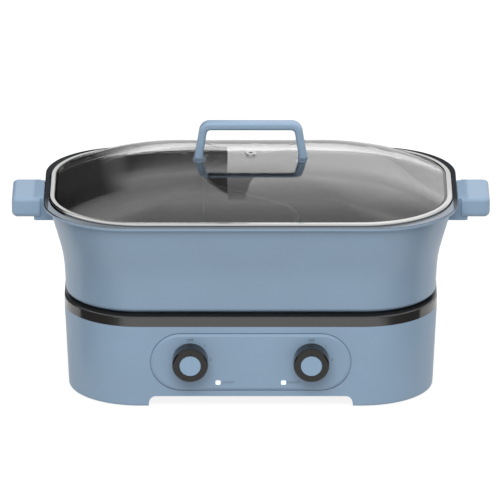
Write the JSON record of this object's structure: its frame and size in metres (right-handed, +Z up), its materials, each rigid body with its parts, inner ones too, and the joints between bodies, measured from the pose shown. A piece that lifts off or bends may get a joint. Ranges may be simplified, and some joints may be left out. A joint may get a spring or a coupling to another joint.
{
  "type": "electric hot pot with lid",
  "caption": "Long electric hot pot: a heated base with a control panel, a divided lift-out pot with side handles and a lift-off domed glass lid.",
  "frame": {"origin": "on the table, under the middle of the base", "axes": "+X to the right along the pot's length as someone faces the control panel, +Y from the control panel towards the back, +Z up"},
  "size_m": [0.4756, 0.256, 0.2646],
  "materials": {
    "blue_plastic": "satin moulded plastic, grey-blue",
    "blue_enamel": "satin grey-blue paint outside, dark non-stick coating inside",
    "collar_black": "polished black",
    "knob_black": "polished black",
    "steel": "fine brushed",
    "cast_aluminium": "turned top, cast sides",
    "element_steel": "dark oxidised sheath",
    "glass": "clear tempered",
    "rubber": "matte",
    "silicone": "matte silicone",
    "black_plastic": "matte, fine grain",
    "lens_white": "milky, smooth",
    "lamp_glass": "clear",
    "brass": "plain",
    "block_ceramic": "unglazed",
    "lead_insulation": "woven glass sleeve"
  },
  "bodies": {
    "base": {"base_housing": "blue_plastic", "bottom_cover": "black_plastic", "bottom_cover_screws": "steel", "top_collar": "collar_black", "heat_shield_tray": "steel", "tray_screws": "steel", "cutout_screws": "steel", "control_fascia": "blue_plastic", "switch_bracket": "steel", "switch_bracket_screws": "steel", "switch_nuts": "brass", "power_inlet": "black_plastic", "power_inlet_pins": "brass", "power_inlet_screws": "steel", "terminal_block": "block_ceramic", "terminal_screws": "brass", "supply_leads": "lead_insulation", "heating_plate_left": "cast_aluminium", "heating_plate_right": "cast_aluminium", "heating_element_left": "element_steel", "heating_element_right": "element_steel", "thermal_cutout_left": "black_plastic", "thermal_cutout_right": "black_plastic", "indicator_lens_left": "lens_white", "indicator_lens_right": "lens_white", "indicator_lamp_left": "lamp_glass", "indicator_lamp_right": "lamp_glass", "rotary_switch_left": "black_plastic", "rotary_switch_right": "black_plastic", "switch_leads_left": "lead_insulation", "switch_leads_right": "lead_insulation", "rubber_foot_front_left": "rubber", "rubber_foot_front_right": "rubber", "rubber_foot_rear_left": "rubber", "rubber_foot_rear_right": "rubber"},
    "knob_left": {"knob_ring_left": "knob_black", "knob_cap_left": "blue_plastic", "knob_shaft_left": "steel"},
    "knob_right": {"knob_ring_right": "knob_black", "knob_cap_right": "blue_plastic", "knob_shaft_right": "steel"},
    "pot": {"cooking_pot": "blue_enamel", "side_handle_left": "blue_plastic", "side_handle_right": "blue_plastic", "side_handle_screws": "steel"},
    "lid": {"lid_rim_ring": "steel", "lid_glass": "glass", "lid_handle": "blue_plastic", "lid_handle_washers": "silicone", "lid_handle_screws": "steel", "steam_vent_eyelet": "steel"}
  },
  "joints": [
    {"name": "knob_left_turn", "type": "hinge", "parent": "base", "child": "knob_left", "pos_m": [-0.06, -0.10674, 0.0516], "axis": [0, 0.9991, 0.0425], "range_deg": [0, 90]},
    {"name": "knob_right_turn", "type": "hinge", "parent": "base", "child": "knob_right", "pos_m": [0.06, -0.10674, 0.0516], "axis": [0, 0.9991, 0.0425], "range_deg": [0, 90]},
    {"name": "pot_lift", "type": "slide", "parent": "base", "child": "pot", "axis": [0, 0, 1], "range_m": [0, 0.12]},
    {"name": "lid_lift", "type": "slide", "parent": "pot", "child": "lid", "axis": [0, 0, 1], "range_m": [0, 0.15]}
  ]
}
